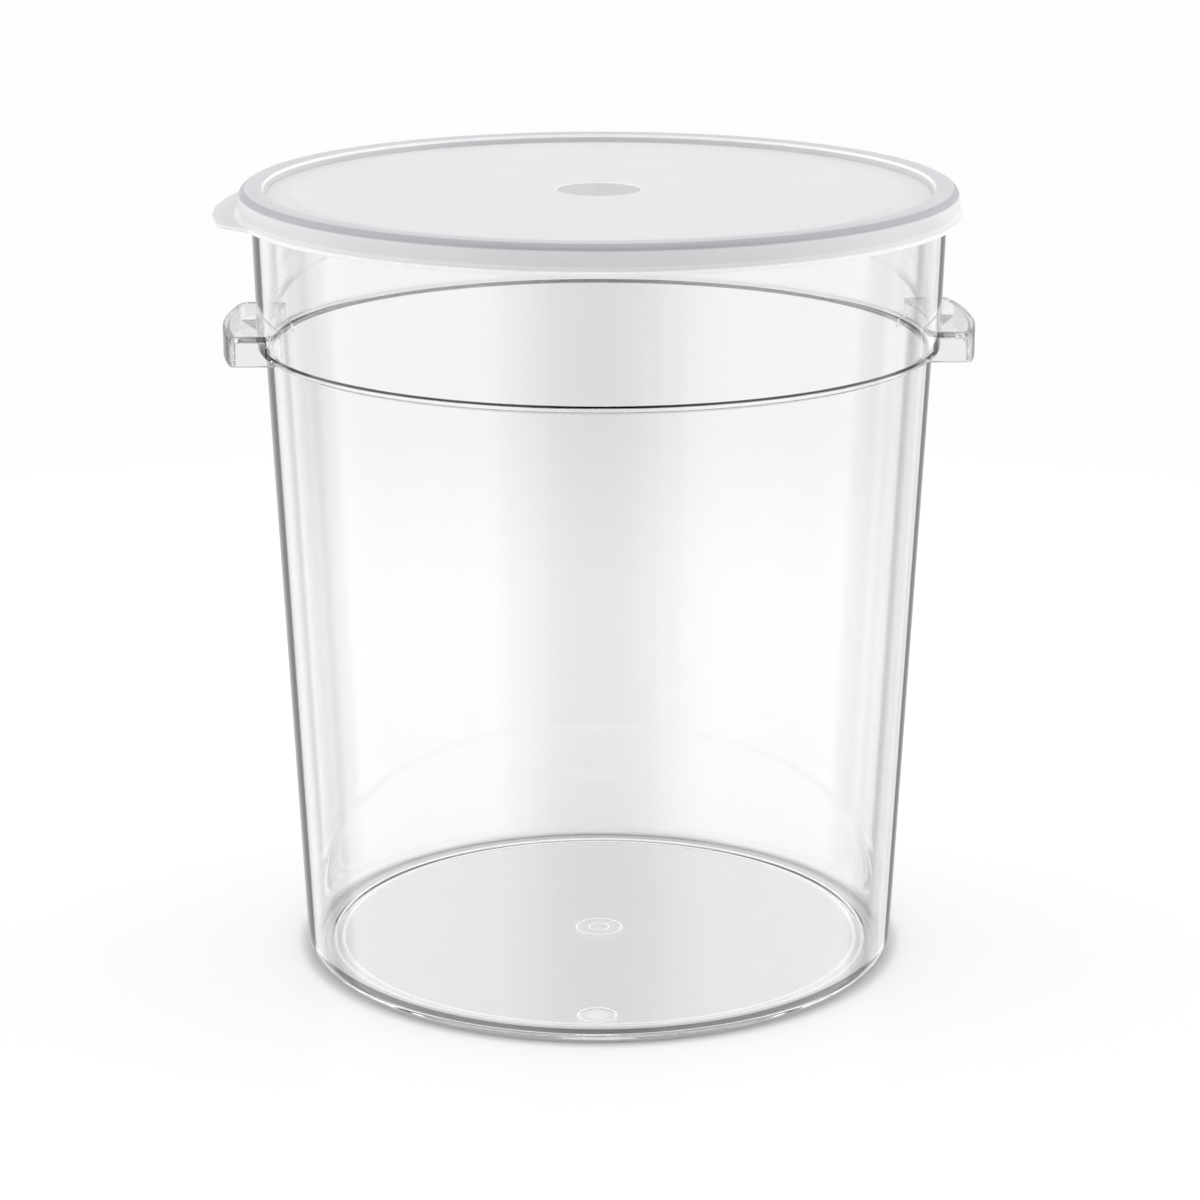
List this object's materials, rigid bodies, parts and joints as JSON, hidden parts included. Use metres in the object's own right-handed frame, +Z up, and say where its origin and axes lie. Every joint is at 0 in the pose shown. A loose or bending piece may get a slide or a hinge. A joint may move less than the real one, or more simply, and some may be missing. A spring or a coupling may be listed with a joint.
{
  "type": "dough proofing container",
  "caption": "Tall round clear tub with a tapered wall, stepped shoulder, side pocket handles and a translucent press-on lid with a pull tab, for proofing dough or storing food.",
  "frame": {"origin": "centre of the container's foot ring, on the plane that it stands on", "axes": "+Z up along the container's axis, X through the two handles, with the lid's pull tab near the -X handle, and -Y towards the viewer of the picture"},
  "size_m": [0.3544, 0.3374, 0.3711],
  "materials": {
    "clear_polycarbonate": "injection moulded, polished, clear",
    "translucent_polypropylene": "injection moulded, satin, milky white"
  },
  "bodies": {
    "container": {"container": "clear_polycarbonate"},
    "lid": {"lid": "translucent_polypropylene"}
  },
  "joints": [
    {"name": "lid_lift", "type": "slide", "parent": "container", "child": "lid", "axis": [0, 0, 1], "range_m": [0, 0.3]}
  ]
}
